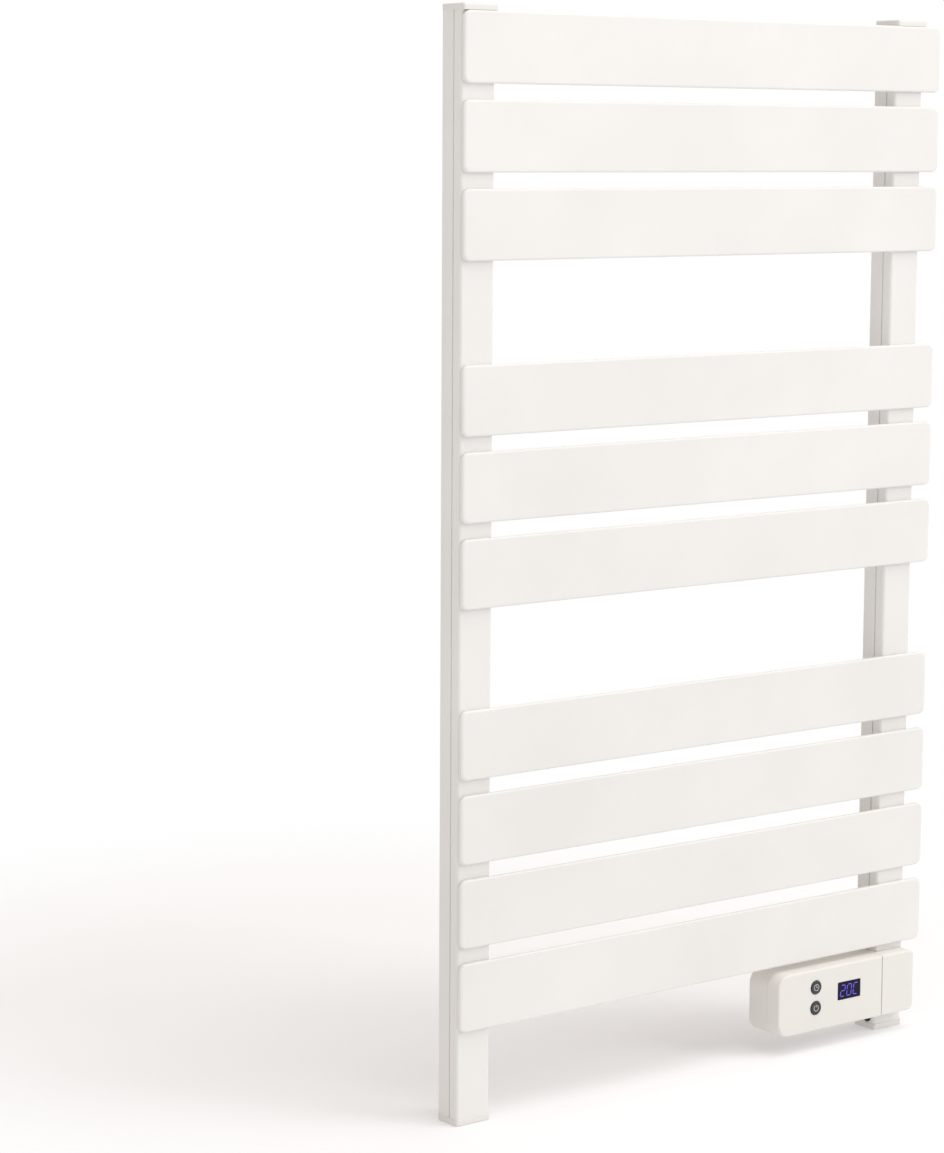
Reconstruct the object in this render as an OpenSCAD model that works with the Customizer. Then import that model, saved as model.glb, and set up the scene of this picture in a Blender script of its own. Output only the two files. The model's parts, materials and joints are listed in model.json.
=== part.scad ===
// Electric flat-bar towel warmer: two uprights, ten bars, four wall brackets and a digital control box.
// The origin is the middle of the wall-screw pattern, on the wall. +X is right as seen from the room,
// +Y points into the wall and +Z is up.

/* [Bars] */
// Length of each bar
bar_len = 500; // [440:5:560]
// Height of each bar
bar_h = 54; // [50:1:58]
// Thickness of each bar
bar_t = 4; // [4:0.5:6]
// Distance from one bar to the next in a group
bar_pitch = 66; // [64:1:70]
// Corner radius of a bar's ends
bar_corner_r = 6; // [2:0.5:8]

/* [Uprights] */
// Width of an upright, seen from the front
upright_w = 32; // [30:1:36]
// Depth of an upright, from front to back
upright_d = 24; // [23:0.5:28]
// Wall thickness of the hollow section
upright_wall = 1.6; // [1.4:0.1:2]
// How far the bars overhang the right upright
overhang = 17; // [10:1:25]
// Bare leg below the lowest bar
leg = 70; // [66:1:80]
// Thickness of the plastic caps
cap_t = 4.6; // [4:0.1:6]

/* [Control box] */
// Width of the control box
box_w = 158; // [150:1:165]
// Height of the control box
box_h = 53; // [50:1:56]
// Gap between the lowest bar and the control box
box_gap = 5.5; // [4:0.5:6]
// How far the control box stands in front of the bars
box_proud = 10; // [8:1:12]
// Diameter of the two buttons
button_d = 11.5; // [10:0.5:12]
// Travel of a button
button_travel = 0.8; // [0.5:0.1:1]

/* [Wall brackets] */
// Distance from the wall to the front of the bars
reach = 75; // [74:1:80]
// Sideways distance between the wall brackets
bracket_span = 300; // [260:10:340]
// Diameter of the wall screw holes
wall_hole_d = 5.5; // [4.5:0.5:6]

/* [Hidden] */
$fn = 48;
clear = 0.3;            // gap between pieces that move against each other

WHITE = [0.93, 0.92, 0.90];
PLASTIC = [0.92, 0.91, 0.89];
DARK = [0.13, 0.13, 0.14];
STEEL = [0.70, 0.70, 0.72];
COPPER = [0.72, 0.45, 0.25];
GREEN = [0.10, 0.38, 0.22];
BLUE = [0.30, 0.25, 0.95];

// The ten bars stand on a grid of twelve places; places 3 and 7 stay empty for thicker towels
SLOTS = [0, 1, 2, 4, 5, 6, 8, 9, 10, 11];
stack_h = 11 * bar_pitch + bar_h;
stack_top = stack_h / 2;
function bar_z(i) = stack_top - SLOTS[i] * bar_pitch - bar_h / 2;

upright_gap = bar_len - overhang - upright_w;       // between the uprights' centre lines
left_x = -upright_gap / 2;
right_x = upright_gap / 2;
bar_x0 = left_x - upright_w / 2;
front_y = -reach;                                   // front of the bars
bar_back = front_y + bar_t;                         // back of the bars, front of the uprights
upright_y = bar_back + upright_d / 2;
upright_back = bar_back + upright_d;
upright_top = stack_top;
upright_bottom = -stack_top - leg;

// Inside an upright, measured from its centre towards the middle of the rack
stud_dx = -5.5;                                     // line of the bar studs
channel_dx = 8.9;                                   // round channel of the heating element
channel_dy = upright_d / 2 - 7.1;
channel_r = 4.2;
stud_r = 2.5;
nut_t = 4;
plug_r = 5.5;
link_z = bar_z(9);
link_y = bar_back + 5;

// Wall brackets, behind the second bar from the top and the second from the bottom, and a little
// further out than those bars' centre lines, where the bars hide the plates from a standing person
bracket_z = bar_z(1) + 11;
BRACKETS = [for (x = [-1, 1], z = [-1, 1]) [x * bracket_span / 2, z * bracket_z]];
plate_r = 14;
plate_t = 4;
post_r = 8.2;
post_len = 55;
post_bore_r = 4.5;
sleeve_r = 11;
sleeve_end = -30;
flange_w = 44;
flange_h = 24;
flange_t = 2;
flange_screw_dx = 15;
set_screw_y = sleeve_end - 6;

// Control box
box_x1 = right_x + upright_w / 2 + 0.5;
box_x0 = box_x1 - box_w;
box_front = front_y - box_proud;
box_back = upright_back - 1;
box_z1 = -stack_top - box_gap;
box_z0 = box_z1 - box_h;
box_zc = (box_z0 + box_z1) / 2;
seam_x = right_x - upright_w / 2 - 5.5;
split_y = bar_back + clear;                         // joint between the front and back shells
shell_t = 2.2;
big_r = 12;
small_r = 5;
button_x = box_x0 + 42.5;
timer_z = box_zc + 11.4;
power_z = box_zc - 6.4;
display_w = 26.5;
display_h = 15.5;
display_x = box_x0 + 81.3;
display_z = box_zc + 3.4;
board_y = box_front + 11;                           // front face of the control board
board_t = 1.6;
switch_h = 2.6;

// Cord inlet in the right upright's inner side, between the control box and the foot cap
inlet_z = box_z0 - 5.8;
inlet_y = upright_y - 3.4;
inlet_r = 4;

// Conductors from the control box into the right upright
wire_y = upright_y - 5;
wire_hole_r = 4;

// ---- shared shapes ----

// A rectangle about the origin, with its own radius at each corner, right-top first and anticlockwise
function corner(cx, cz, r, a0) = [for (i = [0:6]) [cx + r * cos(a0 + 15 * i), cz + r * sin(a0 + 15 * i)]];
function round_box(w, h, r) = concat(
    corner(w / 2 - r[0], h / 2 - r[0], r[0], 0), corner(r[1] - w / 2, h / 2 - r[1], r[1], 90),
    corner(r[2] - w / 2, r[2] - h / 2, r[2], 180), corner(w / 2 - r[3], r[3] - h / 2, r[3], 270));

// Extrudes a shape drawn in X and Z from y0 to y1
module along_y(y0, y1) translate([0, y1, 0]) rotate([90, 0, 0]) linear_extrude(y1 - y0) children();

// A rod along Y from y0 to y1
module rod_y(x, z, r, y0, y1) translate([x, y0, z]) rotate([-90, 0, 0]) cylinder(r = r, h = y1 - y0);

// A rod along X from x0 to x1
module rod_x(y, z, r, x0, x1) translate([x0, y, z]) rotate([0, 90, 0]) cylinder(r = r, h = x1 - x0);

// A hexagonal nut along Y
module nut_y(x, z, r, bore, y0, y1) translate([x, y0, z]) rotate([-90, 0, 0]) difference() {
    cylinder(r = r, h = y1 - y0, $fn = 6);
    translate([0, 0, -1]) cylinder(r = bore, h = y1 - y0 + 2);
}

// A block between two corners
module block(a, b) translate(a) cube(b - a);

// Places its children on the left upright's centre line, or mirrored on the right one's
module on_upright(side) translate([side < 0 ? left_x : right_x, upright_y, 0])
    mirror([side < 0 ? 0 : 1, 0, 0]) children();

// ---- uprights and their caps ----

module upright_section() {
    wall = upright_wall;
    difference() {
        polygon(round_box(upright_w, upright_d, [1.2, 1.2, 2.5, 2.5]));
        difference() {
            polygon(round_box(upright_w - 2 * wall, upright_d - 2 * wall, [0.6, 0.6, 1, 1]));
            translate([channel_dx, channel_dy]) circle(r = channel_r + 1.4);
        }
        translate([channel_dx, channel_dy]) circle(r = channel_r);
        // a shallow groove down each side face
        for (s = [-1, 1]) translate([s * upright_w / 2 - 0.8, -upright_d / 2 + 8.6]) square([1.6, 1.4]);
    }
}

module upright() {
    difference() {
        translate([0, 0, upright_bottom]) linear_extrude(upright_top - upright_bottom) upright_section();
        for (i = [0:9]) {
            rod_y(stud_dx, bar_z(i), stud_r + 0.25, -upright_d / 2 - 1, -upright_d / 2 + 4);
            rod_y(stud_dx, bar_z(i), plug_r, upright_d / 2 - 4, upright_d / 2 + 1);
        }
        rod_x(link_y - upright_y, link_z, 3.2, upright_w / 2 - 3, upright_w / 2 + 1);
    }
}

module left_upright() color(WHITE) on_upright(-1) upright();

module right_upright() color(WHITE) difference() {
    on_upright(1) upright();
    // cord inlet and wiring hole in the inner side
    rod_x(inlet_y, inlet_z, inlet_r, right_x - upright_w / 2 - 1, right_x - upright_w / 2 + 3);
    rod_x(wire_y, box_zc, wire_hole_r, right_x - upright_w / 2 - 1, right_x - upright_w / 2 + 3);
    // tapped holes for the mounting plate
    for (z = [-14, 14]) rod_y(right_x, box_zc + z, 1.8, bar_back - 1, bar_back + 3);
}

// A cap that covers the upright's end and reaches forward to the bars' front
module end_cap(z0, z1, plug_z0, plug_z1, forward) {
    w = upright_w + 0.8;
    y0 = -upright_d / 2 - forward;
    translate([0, (y0 + upright_d / 2 + 0.4) / 2, z0]) linear_extrude(z1 - z0)
        polygon(round_box(w, upright_d / 2 + 0.4 - y0, [1.2, 1.2, 2, 2]));
    // two tongues grip the inside of the hollow section
    for (x = [-14.3, -1]) translate([x, 3, plug_z0]) cube([1.8, 6, plug_z1 - plug_z0]);
}

module top_cap(side) color(PLASTIC) on_upright(side)
    end_cap(upright_top, upright_top + cap_t + 0.4, upright_top - 12, upright_top + 0.1, bar_t - 0.5);

module foot_cap(side) color(PLASTIC) on_upright(side)
    end_cap(upright_bottom - cap_t - 0.4, upright_bottom, upright_bottom - 0.1, upright_bottom + 10, 0.6);

module left_top_cap() top_cap(-1);
module right_top_cap() top_cap(1);
module left_foot_cap() foot_cap(-1);
module right_foot_cap() foot_cap(1);

// ---- bars ----

module slat(i) color(WHITE) difference() {
    translate([bar_x0 + bar_len / 2, 0, bar_z(i)])
        along_y(front_y, bar_back) polygon(round_box(bar_len, bar_h, [for (k = [1:4]) bar_corner_r]));
    // blind tapped holes for the bracket flanges, on the two bars that carry brackets
    if (i == 1 || i == 8) for (x = [-1, 1], s = [-1, 1])
        rod_y(x * bracket_span / 2 + s * flange_screw_dx, sign(bar_z(i)) * bracket_z, 1.8,
              bar_back - 2.5, bar_back + 1);
}

// Welded studs reach from each bar through the front wall of both uprights
module slat_studs() color(STEEL) for (i = [0:9], side = [-1, 1])
    on_upright(side) rod_y(stud_dx, bar_z(i), stud_r, -upright_d / 2, -upright_d / 2 + 7);

module slat_nuts() color(STEEL) for (i = [0:9], side = [-1, 1])
    on_upright(side) nut_y(stud_dx, bar_z(i), 4.6, stud_r + 0.05, -upright_d / 2 + upright_wall,
                           -upright_d / 2 + upright_wall + nut_t);

// Push-in plugs close the holes that a socket reaches the nuts through
module access_plugs() color(PLASTIC) for (i = [0:9], side = [-1, 1]) on_upright(side) {
    rod_y(stud_dx, bar_z(i), plug_r - 0.1, upright_d / 2 - 3, upright_d / 2 + 0.1);
    rod_y(stud_dx, bar_z(i), plug_r + 1.2, upright_d / 2, upright_d / 2 + 0.9);
}

// ---- heating ----

module heating_element(side) on_upright(side) translate([channel_dx, channel_dy, 0]) {
    color(STEEL) translate([0, 0, upright_bottom + 80]) cylinder(r = channel_r - 0.2, h = 720);
    color(WHITE) translate([0, 0, upright_bottom + 66]) cylinder(r = channel_r - 0.6, h = 14);
}
module left_heating_element() heating_element(-1);
module right_heating_element() heating_element(1);

// Overheat cut-out, held against the front wall of the right upright
module thermal_cutout() color(STEEL) on_upright(1)
    translate([stud_dx - 4, -upright_d / 2 + upright_wall, link_z + 24]) cube([8, 4, 18]);

// Channel behind the lowest bar, with the cable that feeds the left heating element
module link_channel() color(WHITE) difference() {
    block([left_x + upright_w / 2, bar_back, link_z - 8],
          [right_x - upright_w / 2, bar_back + 10, link_z + 8]);
    block([left_x, bar_back - 1, link_z - 6.6], [right_x, bar_back + 8.6, link_z + 6.6]);
}

module link_cable() color(DARK)
    rod_x(link_y, link_z, 2.5, left_x + upright_w / 2 - 4, right_x - upright_w / 2 + 4);

// ---- wall brackets ----

module wall_posts() color(PLASTIC) for (b = BRACKETS) difference() {
    union() {
        rod_y(b[0], b[1], plate_r, -plate_t, 0);
        rod_y(b[0], b[1], post_r, -post_len, -plate_t + 1);
    }
    rod_y(b[0], b[1], post_bore_r, -post_len - 1, -plate_t);
    rod_y(b[0], b[1], wall_hole_d / 2, -plate_t - 1, 1);
}

module bracket_sleeves() color(WHITE) for (b = BRACKETS) difference() {
    union() {
        translate([b[0], 0, b[1]]) along_y(bar_back, bar_back + flange_t)
            polygon(round_box(flange_w, flange_h, [6, 6, 6, 6]));
        rod_y(b[0], b[1], sleeve_r, bar_back + 1, sleeve_end);
    }
    rod_y(b[0], b[1], post_r + clear, bar_back - 1, sleeve_end + 1);
    for (s = [-1, 1]) rod_y(b[0] + s * flange_screw_dx, b[1], 2, bar_back - 1, bar_back + 4);
    // tapped hole for the set screw, from below
    translate([b[0], set_screw_y, b[1] - sleeve_r - 1]) cylinder(r = 2.1, h = 6);
}

module bracket_screws() color(STEEL) for (b = BRACKETS, s = [-1, 1]) {
    rod_y(b[0] + s * flange_screw_dx, b[1], 1.7, bar_back - 2.3, bar_back + flange_t + 0.1);
    rod_y(b[0] + s * flange_screw_dx, b[1], 3, bar_back + flange_t, bar_back + flange_t + 1.6);
}

module bracket_set_screws() color(STEEL) for (b = BRACKETS)
    translate([b[0], set_screw_y, b[1] - sleeve_r - 0.5]) difference() {
        cylinder(r = 2, h = 2.7);
        translate([0, 0, -1]) cylinder(r = 1.2, h = 2.5, $fn = 6);
    }

// ---- control box ----

// Outline of a stretch of the box, seen from the front
module box_outline(x0, x1, inset, r) translate([(x0 + x1) / 2, box_zc])
    polygon(round_box(x1 - x0 - 2 * inset, box_h - 2 * inset, [for (k = r) max(k - inset, 0.5)]));

module box_mounting_plate() color(STEEL) difference() {
    block([seam_x + 3, bar_back - 1.5, box_z0 + 8], [box_x1 - 5, bar_back, box_z1 - 8]);
    for (z = [-14, 14]) rod_y(right_x, box_zc + z, 2, bar_back - 3, bar_back + 1);
}

module mounting_plate_screws() color(STEEL) for (z = [-14, 14]) {
    rod_y(right_x, box_zc + z, 1.7, bar_back - 1.6, bar_back + 6);
    rod_y(right_x, box_zc + z, 3.3, bar_back - 3.4, bar_back - 1.5);
}

SHELL_SCREWS = [[box_x0 + 13, box_z0 + 9], [box_x0 + 13, box_z1 - 9],
                [seam_x - 9, box_z0 + 6], [seam_x - 9, box_z1 - 6]];

// Tray behind the split line, beside the upright
module control_back_shell() color(PLASTIC) {
    x1 = right_x - upright_w / 2 - 0.3;
    difference() {
        along_y(split_y, box_back) box_outline(box_x0, x1, 0, [1, big_r, big_r, 1]);
        along_y(split_y - 1, box_back - shell_t) box_outline(box_x0, x1, shell_t, [1, big_r, big_r, 1]);
        rod_x(wire_y, box_zc, wire_hole_r, x1 - 5, x1 + 1);
        for (s = SHELL_SCREWS) rod_y(s[0], s[1], 1.7, box_back - 4, box_back + 1);
    }
}

// Front cover with the openings for the display and the buttons
module control_front_shell() color(PLASTIC) difference() {
    union() {
        difference() {
            along_y(box_front, split_y - 0.1) box_outline(box_x0, seam_x, 0, [0.6, big_r, big_r, 0.6]);
            along_y(box_front + shell_t, split_y)
                box_outline(box_x0, seam_x, shell_t, [0.6, big_r, big_r, 0.6]);
        }
        // screw bosses
        for (s = SHELL_SCREWS) rod_y(s[0], s[1], 3.2, box_front + 1, board_y - 0.2);
    }
    for (s = SHELL_SCREWS) rod_y(s[0], s[1], 1.3, box_front + 4, board_y + 1);
    for (z = [timer_z, power_z]) rod_y(button_x, z, button_d / 2 + clear, box_front - 1, box_front + 4);
    block([display_x - display_w / 2, box_front - 1, display_z - display_h / 2],
          [display_x + display_w / 2, box_front + 4, display_z + display_h / 2]);
}

// Cover of the mounting plate, in front of the upright
module control_end_cover() color(PLASTIC) difference() {
    along_y(box_front, bar_back - 0.1) box_outline(seam_x + 0.4, box_x1, 0, [small_r, 0.6, 0.6, small_r]);
    along_y(box_front + shell_t, bar_back)
        box_outline(seam_x + 0.4, box_x1, shell_t, [small_r, 0.6, 0.6, small_r]);
}

module shell_screws() color(STEEL) for (s = SHELL_SCREWS) {
    rod_y(s[0], s[1], 1.2, board_y - 4, box_back + 0.1);
    rod_y(s[0], s[1], 2.8, box_back, box_back + 0.9);
}

module display_window() color(DARK)
    block([display_x - display_w / 2 + 0.1, box_front, display_z - display_h / 2 + 0.1],
          [display_x + display_w / 2 - 0.1, box_front + 1.8, display_z + display_h / 2 - 0.1]);

module display_module() color(DARK)
    block([display_x - display_w / 2, box_front + 2.5, display_z - display_h / 2],
          [display_x + display_w / 2, board_y, display_z + display_h / 2]);

// Seven-segment digits: top, upper right, lower right, bottom, lower left, upper left, middle
DIGITS = [[1, 1, 0, 1, 1, 0, 1], [1, 1, 1, 1, 1, 1, 0], [1, 0, 0, 1, 1, 1, 0]];
seg = 4.2;                                          // length of a segment
seg_w = 0.7;
module segment(x, z, wide, tall) block([x - wide / 2, box_front + 2.2, z - tall / 2],
                                       [x + wide / 2, box_front + 2.5, z + tall / 2]);

module display_segments() color(BLUE) for (d = [0:2]) {
    x = display_x + (d - 1) * 7.6;
    on = DIGITS[d];
    for (k = [0, 3, 6]) if (on[k]) segment(x, display_z + [seg, 0, 0, -seg, 0, 0, 0][k], seg - 1.1, seg_w);
    for (k = [1, 2, 4, 5]) if (on[k])
        segment(x + (k < 3 ? 1 : -1) * seg / 2, display_z + ((k == 1 || k == 5) ? 1 : -1) * seg / 2,
                seg_w, seg - 1.1);
}

module control_board() color(GREEN) difference() {
    block([box_x0 + 7, board_y, box_z0 + 4], [seam_x - 4, board_y + board_t, box_z1 - 4]);
    for (s = SHELL_SCREWS) rod_y(s[0], s[1], 1.7, board_y - 1, board_y + 3);
}

module tactile_switches() color(DARK) for (z = [timer_z, power_z]) {
    block([button_x - 3, board_y - switch_h, z - 3], [button_x + 3, board_y, z + 3]);
    rod_y(button_x, z, 1.7, board_y - switch_h - 0.8, board_y - switch_h + 0.1);
}

board_back = board_y + board_t;
module relay() color(DARK)
    block([box_x0 + 62, board_back, box_z0 + 8], [box_x0 + 77, board_back + 15, box_z0 + 27]);

module power_module() color([0.12, 0.12, 0.12])
    block([box_x0 + 24, board_back, box_z0 + 8], [box_x0 + 56, board_back + 15, box_z0 + 30]);

module terminal_block() color([0.15, 0.45, 0.25]) difference() {
    block([seam_x - 22, board_back, box_zc - 10], [seam_x - 12, board_back + 11, box_zc + 10]);
    for (k = [-1, 0, 1]) rod_x(wire_y, box_zc + k * 2.4, 1, seam_x - 16, seam_x - 11);
}

module fuse() {
    color([0.8, 0.85, 0.85]) rod_x(board_back + 4, box_z1 - 12, 2.5, box_x0 + 62, box_x0 + 82);
    color(STEEL) for (x = [58, 82]) rod_x(board_back + 4, box_z1 - 12, 2.8, box_x0 + x, box_x0 + x + 4);
    color(STEEL) for (x = [59, 83])
        block([box_x0 + x, board_back, box_z1 - 13], [box_x0 + x + 2, board_back + 3, box_z1 - 11]);
}

module temperature_sensor() color(COPPER) {
    rod_x(board_back + 4, box_z0 + 6, 2, box_x0 + 88, box_x0 + 98);
    block([box_x0 + 92, board_back, box_z0 + 5.5], [box_x0 + 93, board_back + 3, box_z0 + 6.5]);
}

// Three conductors from the terminal block into the right upright
module wiring() color(COPPER) for (k = [-1, 0, 1])
    rod_x(wire_y, box_zc + k * 2.4, 0.9, seam_x - 15.5, right_x - upright_w / 2 + 4);

// ---- buttons ----

// A cap with a retaining flange behind the front cover and a stem that works the switch
module button(z) color(DARK) {
    inner = box_front + shell_t;
    rod_y(button_x, z, button_d / 2, box_front - 0.9, inner + clear + 0.1);
    rod_y(button_x, z, button_d / 2 + 1.2, inner + clear, inner + clear + 1);
    rod_y(button_x, z, 2, inner + clear + 0.9, board_y - switch_h - 0.8 - button_travel - clear);
}
module timer_button() button(timer_z);
module power_button() button(power_z);

module cord_grommet() color(DARK) difference() {
    x = right_x - upright_w / 2;
    union() {
        rod_x(inlet_y, inlet_z, inlet_r - 0.1, x - 0.5, x + upright_wall + 1.4);
        rod_x(inlet_y, inlet_z, inlet_r + 0.9, x - 1, x);
        rod_x(inlet_y, inlet_z, inlet_r + 0.3, x + upright_wall, x + upright_wall + 1.4);
    }
    rod_x(inlet_y, inlet_z, 3, x - 2, x + 6);
}

wall_posts();
left_upright();
right_upright();
left_top_cap();
right_top_cap();
left_foot_cap();
right_foot_cap();
slat(0);  // slat_01
slat(1);  // slat_02
slat(2);  // slat_03
slat(3);  // slat_04
slat(4);  // slat_05
slat(5);  // slat_06
slat(6);  // slat_07
slat(7);  // slat_08
slat(8);  // slat_09
slat(9);  // slat_10
slat_studs();
slat_nuts();
access_plugs();
left_heating_element();
right_heating_element();
thermal_cutout();
link_channel();
link_cable();
bracket_sleeves();
bracket_screws();
bracket_set_screws();
box_mounting_plate();
mounting_plate_screws();
control_back_shell();
control_front_shell();
control_end_cover();
shell_screws();
display_window();
display_segments();
display_module();
control_board();
tactile_switches();
relay();
power_module();
terminal_block();
fuse();
temperature_sensor();
wiring();
timer_button();
power_button();
cord_grommet();
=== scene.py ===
import json
import math

import bmesh
import bpy
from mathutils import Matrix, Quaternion, Vector


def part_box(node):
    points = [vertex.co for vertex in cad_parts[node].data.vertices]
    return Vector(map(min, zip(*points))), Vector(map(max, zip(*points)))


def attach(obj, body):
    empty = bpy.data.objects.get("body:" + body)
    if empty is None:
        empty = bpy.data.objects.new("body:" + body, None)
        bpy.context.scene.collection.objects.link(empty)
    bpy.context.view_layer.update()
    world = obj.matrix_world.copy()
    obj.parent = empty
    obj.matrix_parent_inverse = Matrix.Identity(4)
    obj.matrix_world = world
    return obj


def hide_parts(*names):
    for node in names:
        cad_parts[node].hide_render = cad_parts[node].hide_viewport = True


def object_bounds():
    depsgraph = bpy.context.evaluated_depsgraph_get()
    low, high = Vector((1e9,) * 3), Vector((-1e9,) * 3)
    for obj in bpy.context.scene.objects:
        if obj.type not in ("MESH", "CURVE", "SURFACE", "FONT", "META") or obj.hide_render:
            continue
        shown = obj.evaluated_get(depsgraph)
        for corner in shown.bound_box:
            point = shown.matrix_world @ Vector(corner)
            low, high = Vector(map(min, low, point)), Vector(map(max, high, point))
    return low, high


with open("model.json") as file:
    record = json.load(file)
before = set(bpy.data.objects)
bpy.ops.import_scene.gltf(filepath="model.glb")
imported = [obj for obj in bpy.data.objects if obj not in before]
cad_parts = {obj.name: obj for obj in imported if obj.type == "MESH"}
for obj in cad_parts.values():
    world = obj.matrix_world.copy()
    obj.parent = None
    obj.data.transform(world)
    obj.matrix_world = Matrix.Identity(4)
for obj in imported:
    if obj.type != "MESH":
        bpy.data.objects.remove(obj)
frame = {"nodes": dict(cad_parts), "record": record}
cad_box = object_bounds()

MM = 0.001
CORNER_STEPS = 8            # steps round a quarter circle of an outline
EDGE_STEPS = 5              # steps over a rounded edge
SMOOTH_ANGLE = math.radians(32)


# ---------------------------------------------------------------- camera

LENS, SENSOR = 97.33, 36
SHIFT_X, SHIFT_Y = -0.0041, -0.0183
CAMERA_PLACE = (-1.6531, -1.9377, 0.2901)
CAMERA_FORWARD = (0.6026, 0.7875, -0.1304)
CAMERA_ROLL = math.radians(0.31)


def aim_camera():
    """A long lens, in front of the rack and to its left, as in the reference view."""
    data = bpy.data.cameras.new("camera")
    data.sensor_width = SENSOR
    data.lens = LENS
    data.shift_x = SHIFT_X
    data.shift_y = SHIFT_Y
    data.clip_end = 200
    camera = bpy.data.objects.new("camera", data)
    bpy.context.scene.collection.objects.link(camera)
    camera.location = CAMERA_PLACE
    turn = Vector(CAMERA_FORWARD).to_track_quat("-Z", "Y")
    camera.rotation_mode = "QUATERNION"
    camera.rotation_quaternion = turn @ Quaternion(Vector((0, 0, 1)), CAMERA_ROLL)
    bpy.context.scene.camera = camera


# ---------------------------------------------------------------- materials

NOISE_LOW, NOISE_HIGH = 0.3, 0.7    # where a noise, which hovers about a half, begins and ends its blend


def node(tree, kind, **values):
    """A new node. Each value goes to the input of that name, or else to the node's own setting."""
    made = tree.nodes.new(kind)
    for key, value in values.items():
        if key in made.inputs:
            made.inputs[key].default_value = value
        else:
            setattr(made, key, value)
    return made


def noise(tree, scale, detail=2.0, stretch=None):
    """A noise in the object's own frame, in metres; stretch scales the three axes."""
    coord = node(tree, "ShaderNodeTexCoord")
    texture = node(tree, "ShaderNodeTexNoise", Scale=scale, Detail=detail)
    source = coord.outputs["Object"]
    if stretch:
        mapping = node(tree, "ShaderNodeMapping")
        mapping.inputs["Scale"].default_value = stretch
        tree.links.new(source, mapping.inputs["Vector"])
        source = mapping.outputs["Vector"]
    tree.links.new(source, texture.inputs["Vector"])
    return texture.outputs["Fac"]


def between(tree, factor, low, high):
    """Turns a noise into a number from low to high."""
    span = node(tree, "ShaderNodeMapRange")
    limits = {"From Min": NOISE_LOW, "From Max": NOISE_HIGH, "To Min": low, "To Max": high}
    for limit, value in limits.items():
        span.inputs[limit].default_value = value
    tree.links.new(factor, span.inputs["Value"])
    return span.outputs["Result"]


def ramp(tree, factor, low, high):
    """Turns a noise into a colour from low to high."""
    blend = node(tree, "ShaderNodeValToRGB")
    ends = blend.color_ramp.elements
    for end, position, colour in ((ends[0], NOISE_LOW, low), (ends[1], NOISE_HIGH, high)):
        end.position = position
        end.color = (*colour, 1)
    tree.links.new(factor, blend.inputs["Fac"])
    return blend.outputs["Color"]


def surface(name, low, high, rough, metal=0.0, blotch=9.0, grain=1400.0, relief=0.03, detail=2.0,
            stretch=None, specular=0.5):
    """A material whose colour and roughness wander a little, with a fine relief in millimetres."""
    material = bpy.data.materials.new(name)
    material.use_nodes = True
    tree = material.node_tree
    shader = tree.nodes["Principled BSDF"]
    shader.inputs["Metallic"].default_value = metal
    shader.inputs["Specular IOR Level"].default_value = specular
    broad = noise(tree, blotch, 4.0)
    fine = noise(tree, grain, detail, stretch)
    tree.links.new(ramp(tree, broad, low, high), shader.inputs["Base Color"])
    tree.links.new(between(tree, fine, *rough), shader.inputs["Roughness"])
    bump = node(tree, "ShaderNodeBump", Strength=1.0, Distance=relief * MM)
    tree.links.new(fine, bump.inputs["Height"])
    tree.links.new(bump.outputs["Normal"], shader.inputs["Normal"])
    return material


def lit(name, colour, strength):
    """A dark material that gives light, a little uneven like a diffused LED."""
    material = surface(name, (0.02, 0.02, 0.1), (0.03, 0.03, 0.14), (0.3, 0.4))
    tree = material.node_tree
    shader = tree.nodes["Principled BSDF"]
    shader.inputs["Emission Color"].default_value = (*colour, 1)
    glow = between(tree, noise(tree, 700.0), 0.85 * strength, 1.1 * strength)
    tree.links.new(glow, shader.inputs["Emission Strength"])
    return material


PAINT = surface("powder_coat", (0.76, 0.745, 0.73), (0.80, 0.785, 0.77), (0.42, 0.58),
                grain=900.0, relief=0.035, detail=1.0)
PLASTIC = surface("textured_white_plastic", (0.74, 0.72, 0.69), (0.77, 0.75, 0.72), (0.48, 0.62),
                  grain=2600.0, relief=0.02, detail=3.0)
CAP_PLASTIC = surface("cap_plastic", (0.73, 0.71, 0.69), (0.77, 0.75, 0.73), (0.45, 0.6),
                      grain=2200.0, relief=0.02)
BUTTON = surface("button_plastic", (0.028, 0.028, 0.032), (0.036, 0.036, 0.04), (0.38, 0.5),
                 grain=3000.0, relief=0.012)
WINDOW = surface("smoked_window", (0.007, 0.005, 0.020), (0.010, 0.006, 0.028), (0.08, 0.16),
                 grain=260.0, relief=0.002, specular=0.15)
ICON = surface("icon_print", (0.55, 0.55, 0.56), (0.62, 0.62, 0.63), (0.4, 0.5),
               grain=2500.0, relief=0.004)
SEGMENT = lit("segment_light", (0.18, 0.12, 1.0), 0.9)
STEEL = surface("zinc_steel", (0.42, 0.43, 0.45), (0.55, 0.56, 0.57), (0.28, 0.46), metal=1.0,
                blotch=160.0, grain=1500.0, relief=0.006)
SHEATH = surface("drawn_sheath", (0.34, 0.34, 0.35), (0.44, 0.44, 0.45), (0.3, 0.5), metal=1.0,
                 grain=900.0, relief=0.008, stretch=(1, 1, 0.02))
BOARD = surface("solder_mask", (0.02, 0.10, 0.05), (0.03, 0.14, 0.07), (0.25, 0.4), blotch=120.0)
BLACK = surface("black_moulding", (0.018, 0.018, 0.02), (0.028, 0.028, 0.03), (0.45, 0.6), grain=2400.0)
GREEN = surface("terminal_moulding", (0.03, 0.16, 0.07), (0.04, 0.20, 0.09), (0.4, 0.55))
COPPER = surface("copper", (0.60, 0.30, 0.17), (0.70, 0.38, 0.22), (0.25, 0.4), metal=1.0, blotch=200.0)
RUBBER = surface("black_rubber", (0.014, 0.014, 0.015), (0.024, 0.024, 0.025), (0.7, 0.85),
                 grain=1800.0, relief=0.03)

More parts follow.
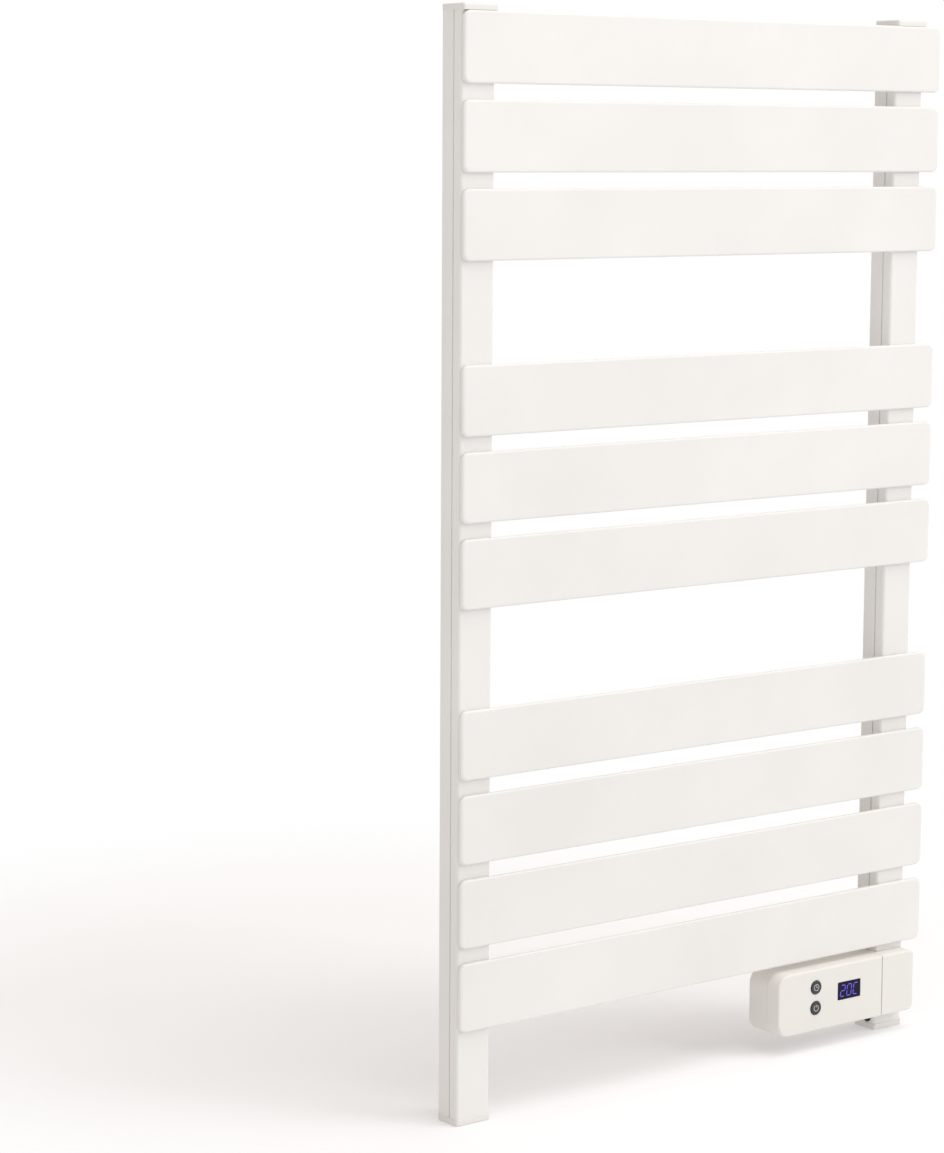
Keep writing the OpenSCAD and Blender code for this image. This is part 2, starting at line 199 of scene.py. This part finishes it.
SLOT_MATERIAL = {
    "frame_paint": PAINT, "cap_plastic": CAP_PLASTIC, "box_plastic": PLASTIC, "button_plastic": BUTTON,
    "display_plastic": WINDOW, "segment_light": SEGMENT, "steel": STEEL, "element_steel": SHEATH,
    "board": BOARD, "black_plastic": BLACK, "terminal_plastic": GREEN, "wire_copper": COPPER,
    "rubber": RUBBER,
}


def paint_cad_nodes():
    """Every CAD node gets its slot's material, and shows it where no finer piece stands for it."""
    for part in frame["record"]["subparts"]:
        mesh = frame["nodes"][part["node"]].data
        mesh.materials.clear()
        mesh.materials.append(SLOT_MATERIAL[part["material_slot"]])


# ---------------------------------------------------------------- geometry helpers

def corners(name):
    """(x0, y0, z0), (x1, y1, z1) of a CAD node."""
    low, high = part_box(name)
    return tuple(low), tuple(high)


def mm(*pairs):
    """Pairs in millimetres become pairs in metres."""
    return [(a * MM, b * MM) for a, b in pairs]


def outline(u0, u1, v0, v1, radii, steps=CORNER_STEPS):
    """A rectangle with its own radius at each corner, right-top first and anticlockwise."""
    points = []
    spots = ((u1, v1, -1, -1, 0), (u0, v1, 1, -1, 90), (u0, v0, 1, 1, 180), (u1, v0, -1, 1, 270))
    for (u, v, su, sv, start), r in zip(spots, radii):
        r = max(r, 0.05 * MM)
        for i in range(steps + 1):
            a = math.radians(start + 90 * i / steps)
            points.append((u + su * r + r * math.cos(a), v + sv * r + r * math.sin(a)))
    return points


def circle(centre, r, count):
    turns = [2 * math.pi * k / count for k in range(count)]
    return [(centre[0] + r * math.cos(a), centre[1] + r * math.sin(a)) for a in turns]


def spokes(points, centre, count):
    """An anticlockwise outline again, with its points at even angles about the centre, as on circle()."""
    spread = []
    for k in range(count):
        a = 2 * math.pi * k / count
        for p, q in zip(points, points[1:] + points[:1]):
            before, after = [math.cos(a) * (v - centre[1]) - math.sin(a) * (u - centre[0])
                             for u, v in (p, q)]
            if before <= 0 < after:
                part = before / (before - after)
                spread.append((p[0] + part * (q[0] - p[0]), p[1] + part * (q[1] - p[1])))
                break
    return spread


def on_y(points, y):
    return [(u, y, v) for u, v in points]


def on_z(points, z):
    return [(u, v, z) for u, v in points]


def edge(radius, steps=EDGE_STEPS):
    """(inset, depth) over a rounded edge, from the face to the side."""
    turns = [math.radians(90 * i / steps) for i in range(steps + 1)]
    return [(radius * (1 - math.sin(a)), radius * (1 - math.cos(a))) for a in turns]


def loft(bm, rings, closed=False):
    """Joins rings of equal length with quads. An open chain gets a cap at each end."""
    made = [[bm.verts.new(p) for p in ring] for ring in rings]
    pairs = list(zip(made, made[1:])) + ([(made[-1], made[0])] if closed else [])
    count = len(made[0])
    for a, b in pairs:
        for i in range(count):
            j = (i + 1) % count
            bm.faces.new((a[i], a[j], b[j], b[i]))
    if not closed:
        bm.faces.new(made[0])
        bm.faces.new(made[-1])


def slab(bm, low, high, radii, first, last, place=on_y, steps=CORNER_STEPS, ends=1.0):
    """A block with rounded corners, and rounded edges at its first and last face along the third axis.
    low and high are (u, v, w), where place puts (u, v) at w; ends stretches the rounding along u."""
    (u0, v0, w0), (u1, v1, w1) = low, high
    spans = [(i, w0 + d) for i, d in edge(first)] + [(i, w1 - d) for i, d in reversed(edge(last))]
    loft(bm, [place(outline(u0 + ends * i, u1 - ends * i, v0 + i, v1 - i, [r - i for r in radii], steps), w)
              for i, w in spans])


def lathe(bm, profile, centre, axis="y", steps=32, closed=False):
    """Turns (along, radius) pairs about a line through centre. An open profile may end on the axis."""
    def spot(along, r, a):
        u, v = r * math.cos(a), r * math.sin(a)
        offset = {"x": (along, u, v), "y": (u, along, v), "z": (u, v, along)}[axis]
        return [c + o for c, o in zip(centre, offset)]

    turns = [2 * math.pi * i / steps for i in range(steps)]
    rings = []
    for along, r in profile:
        if r < 1e-7:
            rings.append([bm.verts.new(spot(along, 0, 0))])
        else:
            rings.append([bm.verts.new(spot(along, r, a)) for a in turns])
    pairs = list(zip(rings, rings[1:])) + ([(rings[-1], rings[0])] if closed else [])
    for a, b in pairs:
        for i in range(steps):
            j = (i + 1) % steps
            if len(a) == 1:
                bm.faces.new((a[0], b[j], b[i]))
            elif len(b) == 1:
                bm.faces.new((a[i], a[j], b[0]))
            else:
                bm.faces.new((a[i], a[j], b[j], b[i]))


def raw(name, bm):
    """The mesh as an object of its own, with its faces turned outwards."""
    bmesh.ops.recalc_face_normals(bm, faces=bm.faces)
    mesh = bpy.data.meshes.new(name)
    bm.to_mesh(mesh)
    bm.free()
    made = bpy.data.objects.new(name, mesh)
    bpy.context.scene.collection.objects.link(made)
    return made


def cut(made, cutter):
    """Takes the cutter's shape out of a piece."""
    tool = raw(made.name + "_tool", cutter)
    mod = made.modifiers.new("cut", "BOOLEAN")
    mod.operation = "DIFFERENCE"
    mod.solver = "EXACT"
    mod.object = tool
    graph = bpy.context.evaluated_depsgraph_get()
    made.data = bpy.data.meshes.new_from_object(made.evaluated_get(graph))
    made.modifiers.clear()
    bpy.data.objects.remove(tool)


def piece(name, bm, material, stands_for, body="rack", cutter=None):
    """Makes a finished piece: cut, smoothed, given its material and body; the CAD nodes it stands for are
    hidden.
    """
    made = raw(name, bm)
    if cutter:
        cut(made, cutter)
    made.data.materials.clear()
    made.data.materials.append(material)
    made.data.shade_smooth()
    made.data.set_sharp_from_angle(angle=SMOOTH_ANGLE)
    weighted = made.modifiers.new("weighted_normals", "WEIGHTED_NORMAL")
    weighted.keep_sharp = True
    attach(made, body)
    if stands_for:
        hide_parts(*stands_for)


# ---------------------------------------------------------------- bars

BAR_NODES = ["slat_%02d" % i for i in range(1, 11)]
BAR_CORNER = 6 * MM
BAR_FRONT, BAR_BACK = 1.6 * MM, 1.2 * MM    # radii of the edges round the front and the back
BAR_END_ROLL = 2.0                          # how much further the rounding reaches in from a bar's ends


def bars():
    for name in BAR_NODES:
        (x0, y0, z0), (x1, y1, z1) = corners(name)
        bm = bmesh.new()
        slab(bm, (x0, z0, y0), (x1, z1, y1), [BAR_CORNER] * 4, BAR_FRONT, BAR_BACK, ends=BAR_END_ROLL)
        piece(name.replace("slat", "bar"), bm, PAINT, [name])


# ---------------------------------------------------------------- caps and plugs

CAP_CORNER = 2 * MM
CAP_FACE, SOLE_FACE = 1.6 * MM, 1.0 * MM    # edges on a top cap and under a foot cap
CAP_SEAM = 0.3 * MM                     # edge where a cap meets its upright
TONGUES_OUT = (13.4 * MM, 0.1 * MM)     # from the middle of the upright towards the rack's outside
TONGUE_HALF = 0.9 * MM
TONGUE_Y = (3 * MM, 9 * MM)             # behind the middle of the upright
TONGUE_TOP, TONGUE_FOOT = 12 * MM, 10 * MM
TONGUE_ROOT = 0.5 * MM                  # how far a tongue reaches up into its cap


def caps():
    for side, outward in (("left", -1), ("right", 1)):
        (px0, py0, pz0), (px1, py1, pz1) = corners(side + "_upright")
        mid_x, mid_y = (px0 + px1) / 2, (py0 + py1) / 2
        for end in ("top", "foot"):
            node_name = "%s_%s_cap" % (side, end)
            (x0, y0, z0), (x1, y1, z1) = corners(node_name)
            bm = bmesh.new()
            if end == "top":
                slab(bm, (x0, y0, pz1), (x1, y1, z1), [CAP_CORNER] * 4, CAP_SEAM, CAP_FACE, on_z)
                tongue = (pz1 - TONGUE_TOP, pz1 + TONGUE_ROOT)
            else:
                slab(bm, (x0, y0, z0), (x1, y1, pz0), [CAP_CORNER] * 4, SOLE_FACE, CAP_SEAM, on_z)
                tongue = (pz0 - TONGUE_ROOT, pz0 + TONGUE_FOOT)
            for out in TONGUES_OUT:
                x = mid_x + outward * out
                slab(bm, (x - TONGUE_HALF, mid_y + TONGUE_Y[0], tongue[0]),
                     (x + TONGUE_HALF, mid_y + TONGUE_Y[1], tongue[1]), [0.3 * MM] * 4, 0.3 * MM, 0.1 * MM,
                     on_z, 2)
            piece("cap_%s_%s" % (side, end), bm, CAP_PLASTIC, [node_name])


PLUG_R = 6.7 * MM
# From the end of the plug inside the upright to the dimple in its domed head
PLUG_PROFILE = mm((-3.9, 0), (-3.9, 4.9), (-3.5, 5.4), (-0.9, 5.4), (-0.9, 6.5), (-0.7, 6.7), (-0.4, 6.5),
                  (-0.15, 5.6), (-0.02, 3.6), (0, 2.2), (-0.25, 1.9), (-0.3, 0))


def plugs():
    """Domed plugs in the backs of the uprights, one behind each end of each bar."""
    (x0, _, _), (x1, y1, _) = corners("access_plugs")
    bm = bmesh.new()
    for name in BAR_NODES:
        low, high = corners(name)
        z = (low[2] + high[2]) / 2
        for x in (x0 + PLUG_R, x1 - PLUG_R):
            lathe(bm, PLUG_PROFILE, (x, y1, z), steps=40)
    piece("upright_plugs", bm, CAP_PLASTIC, ["access_plugs"])


# ---------------------------------------------------------------- wall brackets

PLATE_R = 14 * MM
SLEEVE_R, SLEEVE_BORE = 11 * MM, 8.5 * MM
SLEEVE_STEPS = 96
FLANGE_HALF_X, FLANGE_HALF_Z, FLANGE_CORNER = 22 * MM, 12 * MM, 6 * MM
FLANGE_T = 2 * MM
FLANGE_SCREW_X = 15 * MM
SET_SCREW_BACK = 6 * MM     # of a set screw's axis from the sleeve's rear end
# Round the section of a wall post: the plate with its screw hole, then the tube
POST_PROFILE = mm((0, 2.75), (0, 13.6), (-0.4, 14), (-2.6, 14), (-3.3, 13.7), (-3.8, 13.0), (-4, 12.2),
                  (-4, 9.9), (-4.5, 8.8), (-5.6, 8.2), (-54.2, 8.2), (-55, 7.4), (-55, 4.9), (-54.5, 4.5),
                  (-4, 4.5), (-4, 3.6), (-3.2, 2.75))
SET_SCREW_HOLE = mm((-13, 0), (-13, 2.1), (-6, 2.1), (-6, 0))
SET_SCREW_PROFILE = mm((1.4, 0), (1.4, 1.15), (0.15, 1.15), (0, 1.4), (0, 1.8), (0.2, 2), (2.7, 2),
                       (2.7, 0))
SET_SCREW_BASE = 11.5 * MM  # of a set screw's outer end under the bracket's axis

post_low, post_high = corners("wall_posts")
SPOTS = [(x, z) for x in (post_low[0] + PLATE_R, post_high[0] - PLATE_R)
         for z in (post_low[2] + PLATE_R, post_high[2] - PLATE_R)]
sleeve_front, sleeve_back = corners("bracket_sleeves")[0][1], corners("bracket_sleeves")[1][1]
flange_back = sleeve_front + FLANGE_T


def bracket_posts():
    bm = bmesh.new()
    for x, z in SPOTS:
        lathe(bm, POST_PROFILE, (x, 0, z), steps=48, closed=True)
    piece("bracket_posts", bm, CAP_PLASTIC, ["wall_posts"], "wall_fixings")


def collar(bm, x, z):
    """A sleeve on its flange, as one closed loft: over the flange, along the sleeve, back down its bore."""
    def flange(i):
        inset = outline(x - FLANGE_HALF_X + i, x + FLANGE_HALF_X - i, z - FLANGE_HALF_Z + i,
                        z + FLANGE_HALF_Z - i, [FLANGE_CORNER - i] * 4)
        return spokes(inset, (x, z), SLEEVE_STEPS)

    def ring(r):
        return circle((x, z), r, SLEEVE_STEPS)

    loft(bm, [on_y(flange(0), sleeve_front),
              on_y(flange(0), flange_back - 0.6 * MM),
              on_y(flange(0.2 * MM), flange_back - 0.2 * MM),
              on_y(flange(0.6 * MM), flange_back),
              on_y(ring(SLEEVE_R + 0.9 * MM), flange_back),
              on_y(ring(SLEEVE_R + 0.3 * MM), flange_back + 0.3 * MM),
              on_y(ring(SLEEVE_R), flange_back + 1 * MM),
              on_y(ring(SLEEVE_R), sleeve_back - 0.8 * MM),
              on_y(ring(SLEEVE_R - 0.3 * MM), sleeve_back - 0.2 * MM),
              on_y(ring(SLEEVE_R - 0.8 * MM), sleeve_back),
              on_y(ring(SLEEVE_BORE + 0.4 * MM), sleeve_back),
              on_y(ring(SLEEVE_BORE), sleeve_back - 0.4 * MM),
              on_y(ring(SLEEVE_BORE), sleeve_front)], closed=True)


def bracket_collars():
    bm = bmesh.new()
    tool = bmesh.new()
    for x, z in SPOTS:
        collar(bm, x, z)
        lathe(tool, SET_SCREW_HOLE, (x, sleeve_back - SET_SCREW_BACK, z), "z", 24)
    piece("bracket_collars", bm, PAINT, ["bracket_sleeves"], cutter=tool)


def set_screws():
    low, high = corners("bracket_set_screws")
    bm = bmesh.new()
    for x, z in SPOTS:
        lathe(bm, SET_SCREW_PROFILE, (x, (low[1] + high[1]) / 2, z - SET_SCREW_BASE), "z", 24)
    piece("collar_set_screws", bm, STEEL, ["bracket_set_screws"])


# ---------------------------------------------------------------- screws with a cross recess

CROSS_REACH, CROSS_HALF = 0.52, 0.13    # of the recess, as parts of the head's radius


def pan_heads(name, spots, r, height, shank_r, shank, node_names):
    """Pan-head screws that face the wall (+Y), with a cross recess. Each spot is (x, y of the seat, z)."""
    a, b = r * CROSS_REACH, r * CROSS_HALF
    cross = [(a, b), (b, b), (b, a), (-b, a), (-b, b), (-a, b), (-a, -b), (-b, -b), (-b, -a), (b, -a),
             (b, -b), (a, -b)]
    bm, tool = bmesh.new(), bmesh.new()
    for x, y, z in spots:
        lathe(bm, [(-shank, 0), (-shank, shank_r), (0, shank_r), (0, r), (height * 0.35, r),
                   (height * 0.7, r * 0.88), (height * 0.93, r * 0.6), (height, r * 0.3), (height, 0)],
              (x, y, z), steps=28)
        loft(tool, [on_y([(x + u, z + v) for u, v in cross], y + height * part) for part in (0.4, 1.3)])
    piece(name, bm, STEEL, node_names, cutter=tool)


def flange_screws():
    spots = [(x + dx, flange_back, z) for x, z in SPOTS for dx in (-FLANGE_SCREW_X, FLANGE_SCREW_X)]
    shank = flange_back - corners("bracket_screws")[0][1]
    pan_heads("bracket_flange_screws", spots, 3 * MM, 1.6 * MM, 1.7 * MM, shank, ["bracket_screws"])


def case_screws():
    """Two near the rounded end of the box, and two beside the upright."""
    (x0, _, z0), (_, y1, z1) = corners("control_back_shell")
    seam = corners("control_front_shell")[1][0]
    columns = ((x0 + 13 * MM, 9 * MM), (seam - 9 * MM, 6 * MM))
    spots = [(x, y1, z) for x, inset in columns for z in (z0 + inset, z1 - inset)]
    shank = y1 - corners("shell_screws")[0][1]
    pan_heads("case_screws", spots, 2.8 * MM, 0.9 * MM, 1.2 * MM, shank, ["shell_screws"])


# ---------------------------------------------------------------- control box

WALL = 2.2 * MM
BIG, SMALL, SHARP = 12 * MM, 5 * MM, 0.5 * MM       # radii of the covers' corners
CASE_EDGE, BACK_EDGE = 1.8 * MM, 1.6 * MM
SEAM_EDGE = 0.35 * MM
RIM_EDGE = 0.15 * MM
KEY_LIP = 1.2 * MM          # how far a key's hidden flange stands past its cap
KEY_GAP, KEY_CHAMFER = 0.25 * MM, 0.25 * MM
WINDOW_CORNER = 0.8 * MM
WINDOW_GAP, WINDOW_CHAMFER = 0.12 * MM, 0.2 * MM
WINDOW_SINK = 0.05 * MM

timer_low, timer_high = corners("timer_button")
KEY_FLANGE = (timer_high[0] - timer_low[0]) / 2
KEY_R = KEY_FLANGE - KEY_LIP
KEYS = ("timer", "power")
display_low, display_high = corners("display_window")


def key_axis(name):
    """x and z of a key's axis."""
    low, high = corners(name + "_button")
    return (low[0] + high[0]) / 2, (low[2] + high[2]) / 2


def cup(node_name, radii, edge_r, opens, seam_side=None):
    """A hollow cover, open to the 'back' or the 'front'. The edges of its face are rounded, except on
    seam_side ('left' or 'right'), where another piece meets it."""
    (x0, y0, z0), (x1, y1, z1) = corners(node_name)
    rim, face, toward = (y1, y0, -1) if opens == "back" else (y0, y1, 1)

    def shape(i, narrow):
        left = min(i, SEAM_EDGE) if seam_side == "left" else i
        right = min(i, SEAM_EDGE) if seam_side == "right" else i
        reduced = [max(r - i, 0.1 * MM) if r > SHARP else max(r - narrow, RIM_EDGE) for r in radii]
        return outline(x0 + left, x1 - right, z0 + i, z1 - i, reduced)

    inner = outline(x0 + WALL, x1 - WALL, z0 + WALL, z1 - WALL, [max(r - WALL, 0.3 * MM) for r in radii])
    rings = [on_y(inner, face - toward * WALL), on_y(inner, rim), on_y(shape(RIM_EDGE, 0), rim),
             on_y(shape(0, 0), rim + toward * RIM_EDGE)]
    rings += [on_y(shape(i, 0.2 * MM), face - toward * d) for i, d in reversed(edge(edge_r, 7))]
    bm = bmesh.new()
    loft(bm, rings)
    return bm


def case_front():
    """The front cover, with a chamfered bore for each key and a chamfered opening for the window."""
    face = corners("control_front_shell")[0][1]
    (x0, _, z0), (x1, _, z1) = display_low, display_high
    outside, inside = 1 * MM, 6 * MM
    tool = bmesh.new()
    for name in KEYS:
        x, z = key_axis(name)
        bore = KEY_R + KEY_GAP
        wide = bore + KEY_CHAMFER + outside
        lathe(tool, [(-outside, 0), (-outside, wide), (KEY_CHAMFER, bore), (inside, bore), (inside, 0)],
              (x, face, z), steps=64)
    sections = []
    for wider, depth in ((WINDOW_CHAMFER + outside, -outside), (0, WINDOW_CHAMFER), (0, inside)):
        g = WINDOW_GAP + wider
        opening = outline(x0 - g, x1 + g, z0 - g, z1 + g, [WINDOW_CORNER + 0.1 * MM + wider] * 4, 4)
        sections.append(on_y(opening, face + depth))
    loft(tool, sections)
    bm = cup("control_front_shell", [SHARP, BIG, BIG, SHARP], CASE_EDGE, "back", "right")
    piece("case_front", bm, PLASTIC, ["control_front_shell"], cutter=tool)


def case_end_cover():
    bm = cup("control_end_cover", [SMALL, SHARP, SHARP, SMALL], CASE_EDGE, "back", "left")
    piece("case_end_cover", bm, PLASTIC, ["control_end_cover"])


def case_back():
    bm = cup("control_back_shell", [1 * MM, BIG, BIG, 1 * MM], BACK_EDGE, "front")
    piece("case_back", bm, PLASTIC, ["control_back_shell"])


def smoked_window():
    (x0, y0, z0), (x1, y1, z1) = display_low, display_high
    bm = bmesh.new()
    slab(bm, (x0, z0, y0 + WINDOW_SINK), (x1, z1, y1), [WINDOW_CORNER] * 4, 0.25 * MM, 0.05 * MM, on_y, 4)
    piece("smoked_window", bm, WINDOW, ["display_window"])


# ---------------------------------------------------------------- digits

SEG_HALF, SEG_W, SLANT = 2.4 * MM, 0.36 * MM, 0.12
SEG_GAP = 0.38 * MM
DIGIT_PITCH = 7.4 * MM
DIGITS = ("ABGED", "ABCDEF", "ADEF")        # 2, 0 and C by the usual letters of the seven segments
# Each segment's place, across and up in half digits, and whether it lies flat
SEGMENTS = {"A": (0, 2, True), "G": (0, 0, True), "D": (0, -2, True), "B": (1, 1, False),
            "C": (1, -1, False), "F": (-1, 1, False), "E": (-1, -1, False)}


def lit_digits():
    """Slanted digits on the front of the window."""
    mid_x = (display_low[0] + display_high[0]) / 2
    mid_z = (display_low[2] + display_high[2]) / 2
    face = display_low[1]
    half = SEG_HALF - SEG_GAP
    lying = [(-half, 0), (-half + SEG_W, -SEG_W), (half - SEG_W, -SEG_W), (half, 0), (half - SEG_W, SEG_W),
             (-half + SEG_W, SEG_W)]
    standing = [(v, u) for u, v in lying]
    bm = bmesh.new()
    for k, digit in enumerate(DIGITS):
        for letter in digit:
            across, up, flat = SEGMENTS[letter]
            cu, cv = across * SEG_HALF, up * SEG_HALF
            placed = [(mid_x + (k - 1) * DIGIT_PITCH + cu + u + SLANT * (cv + v), mid_z + cv + v)
                      for u, v in (lying if flat else standing)]
            loft(bm, [on_y(placed, face - 0.02 * MM), on_y(placed, face + 0.1 * MM)])
    piece("lit_digits", bm, SEGMENT, ["display_segments"])


# ---------------------------------------------------------------- keys and their signs

SIGN_LINE = 0.5 * MM
SIGN_TOP, SIGN_BASE = 0.06 * MM, 0.3 * MM   # behind the foremost point of the key
KEY_FLANGE_Y, KEY_FLANGE_T = 3.4 * MM, 1 * MM
KEY_STEM_R = 2 * MM


def arc(centre, r, width, start, end, steps):
    """A strip along an arc, as pairs of (inner, outer) points."""
    turns = [math.radians(start + (end - start) * i / steps) for i in range(steps + 1)]
    sides = (r - width / 2, r + width / 2)
    return [[(centre[0] + q * math.cos(a), centre[1] + q * math.sin(a)) for q in sides] for a in turns]


def strip(a, b, width):
    """A straight strip from a to b, as pairs of points."""
    (ax, az), (bx, bz) = a, b
    length = math.hypot(bx - ax, bz - az)
    nx, nz = -(bz - az) / length * width / 2, (bx - ax) / length * width / 2
    return [[(ax - nx, az - nz), (ax + nx, az + nz)], [(bx - nx, bz - nz), (bx + nx, bz + nz)]]


def raised(bm, pairs, y0, y1, ring=False):
    """A raised strip between y0 and y1 along the pairs of points."""
    sections = [[bm.verts.new((p[0], y, p[1])) for p, y in ((a, y0), (b, y0), (b, y1), (a, y1))]
                for a, b in (pairs[:-1] if ring else pairs)]
    joined = list(zip(sections, sections[1:])) + ([(sections[-1], sections[0])] if ring else [])
    for one, two in joined:
        for i in range(4):
            j = (i + 1) % 4
            bm.faces.new((one[i], one[j], two[j], two[i]))
    if not ring:
        bm.faces.new(sections[0])
        bm.faces.new(sections[-1])


def clock_sign(bm, x, z, top, base):
    hand = SIGN_LINE * 0.9
    raised(bm, arc((x, z), 2.6 * MM, SIGN_LINE, 0, 360, 40), top, base, ring=True)
    raised(bm, strip((x, z), (x, z + 1.7 * MM), hand), top, base)
    raised(bm, strip((x - 0.2 * MM, z), (x + 1.25 * MM, z), hand), top, base)


def power_sign(bm, x, z, top, base):
    raised(bm, arc((x, z), 2.5 * MM, SIGN_LINE, 118, 422, 36), top, base)
    raised(bm, strip((x, z + 0.6 * MM), (x, z + 3.1 * MM), SIGN_LINE), top, base)


def key(name, sign):
    """A shallow dished face with a soft edge, then a flange and a stem behind the cover, and the sign."""
    low, high = corners(name + "_button")
    x, z = key_axis(name)
    front, depth = low[1], high[1] - low[1]
    flange_end = KEY_FLANGE_Y + KEY_FLANGE_T
    bm = bmesh.new()
    dish = [(0.22 * MM, 0), (0.21 * MM, KEY_R * 0.27), (0.16 * MM, KEY_R * 0.51), (0.07 * MM, KEY_R * 0.74),
            (0.01 * MM, KEY_R * 0.87)]
    soft_edge = [(0.03 * MM, KEY_R - 0.5 * MM), (0.14 * MM, KEY_R - 0.22 * MM),
                 (0.34 * MM, KEY_R - 0.06 * MM), (0.6 * MM, KEY_R)]
    flange = [(KEY_FLANGE_Y, KEY_R), (KEY_FLANGE_Y, KEY_FLANGE), (flange_end, KEY_FLANGE),
              (flange_end, KEY_STEM_R)]
    stem = [(depth - 0.3 * MM, KEY_STEM_R), (depth, KEY_STEM_R - 0.3 * MM), (depth, 0)]
    lathe(bm, dish + soft_edge + flange + stem, (x, front, z), steps=64)
    body = name + "_button_body"
    piece(name + "_key", bm, BUTTON, [name + "_button"], body)
    bm = bmesh.new()
    sign(bm, x, z, front + SIGN_TOP, front + SIGN_BASE)
    piece(name + "_icon", bm, ICON, [], body)


# ---------------------------------------------------------------- grommet in the cord inlet

# Round its section, from the inner side of the upright inwards
GROMMET_PROFILE = mm((0.1, 3.6), (0.0, 4.1), (0.25, 4.7), (0.75, 4.9), (1, 4.8), (1, 3.9), (2.6, 3.9),
                     (2.6, 4.8), (4, 4.6), (4, 3.2), (3.8, 3), (0.6, 3), (0.25, 3.2))


def inlet_grommet():
    (x0, y0, z0), (_, y1, z1) = corners("cord_grommet")
    bm = bmesh.new()
    lathe(bm, GROMMET_PROFILE, (x0, (y0 + y1) / 2, (z0 + z1) / 2), "x", 40, closed=True)
    piece("inlet_grommet", bm, RUBBER, ["cord_grommet"])


# ---------------------------------------------------------------- studio

FLOOR_CENTRE = (-0.02, 0.28, 0)
FLOOR_NEAR, FLOOR_FAR = 0.25, 0.75
FLOOR_HALF = 40
FLOOR_GAP = 0.2 * MM        # under the rack's lowest point
AMBIENT, AMBIENT_STRENGTH = (1.0, 0.94, 0.88, 1), 0.69


def fading_floor():
    """A pale matt floor near the rack, which fades into the white behind it."""
    material = surface("studio_floor", (0.90, 0.90, 0.92), (0.92, 0.92, 0.94), (0.75, 0.85), blotch=1.5,
                       grain=300.0, relief=0.02, specular=0.1)
    tree = material.node_tree
    shader, out = tree.nodes["Principled BSDF"], tree.nodes["Material Output"]
    coord = node(tree, "ShaderNodeTexCoord")
    reach = node(tree, "ShaderNodeVectorMath", operation="DISTANCE")
    reach.inputs[1].default_value = FLOOR_CENTRE
    tree.links.new(coord.outputs["Object"], reach.inputs[0])
    fade = node(tree, "ShaderNodeMapRange", interpolation_type="SMOOTHSTEP")
    fade.inputs["From Min"].default_value = FLOOR_NEAR
    fade.inputs["From Max"].default_value = FLOOR_FAR
    tree.links.new(reach.outputs["Value"], fade.inputs["Value"])
    white = node(tree, "ShaderNodeEmission", Color=(1, 1, 1, 1), Strength=1.0)
    mix = node(tree, "ShaderNodeMixShader")
    tree.links.new(fade.outputs["Result"], mix.inputs["Fac"])
    tree.links.new(shader.outputs["BSDF"], mix.inputs[1])
    tree.links.new(white.outputs["Emission"], mix.inputs[2])
    tree.links.new(mix.outputs["Shader"], out.inputs["Surface"])
    bm = bmesh.new()
    bmesh.ops.create_grid(bm, x_segments=8, y_segments=8, size=FLOOR_HALF)
    floor = raw("studio_floor", bm)
    floor.location.z = cad_box[0][2] - FLOOR_GAP
    floor.data.materials.append(material)


def softbox(name, location, target, size, power, colour=(1, 1, 1)):
    data = bpy.data.lights.new(name, "AREA")
    data.shape = "RECTANGLE"
    data.size, data.size_y = size
    data.energy = power
    data.color = colour
    light = bpy.data.objects.new(name, data)
    bpy.context.scene.collection.objects.link(light)
    light.location = location
    aim = Vector(target) - Vector(location)
    light.rotation_mode = "QUATERNION"
    light.rotation_quaternion = aim.to_track_quat("-Z", "Y")
    light.visible_camera = False


def white_world():
    """Even soft light, and a clean white behind everything."""
    world = bpy.data.worlds.new("studio")
    bpy.context.scene.world = world
    world.use_nodes = True
    tree = world.node_tree
    tree.nodes.clear()
    ambient = node(tree, "ShaderNodeBackground", Color=AMBIENT, Strength=AMBIENT_STRENGTH)
    white = node(tree, "ShaderNodeBackground", Color=(1, 1, 1, 1), Strength=1.0)
    path = node(tree, "ShaderNodeLightPath")
    mix = node(tree, "ShaderNodeMixShader")
    out = node(tree, "ShaderNodeOutputWorld")
    tree.links.new(path.outputs["Is Camera Ray"], mix.inputs["Fac"])
    tree.links.new(ambient.outputs["Background"], mix.inputs[1])
    tree.links.new(white.outputs["Background"], mix.inputs[2])
    tree.links.new(mix.outputs["Shader"], out.inputs["Surface"])


# ---------------------------------------------------------------- the whole scene

aim_camera()
paint_cad_nodes()

bars()
caps()
plugs()
bracket_posts()
bracket_collars()
flange_screws()
case_screws()
set_screws()
case_front()
case_end_cover()
case_back()
smoked_window()
lit_digits()
key("timer", clock_sign)
key("power", power_sign)
inlet_grommet()

fading_floor()
white_world()
softbox("key", (3.0, -3.8, 2.3), (0, 0, -0.05), (2.5, 2.5), 80, (0.95, 0.98, 1.0))
softbox("overhead", (0.5, -1.1, 3.4), (0, -0.1, -0.3), (3.6, 2.7), 68)
bpy.context.scene.view_settings.view_transform = "Standard"
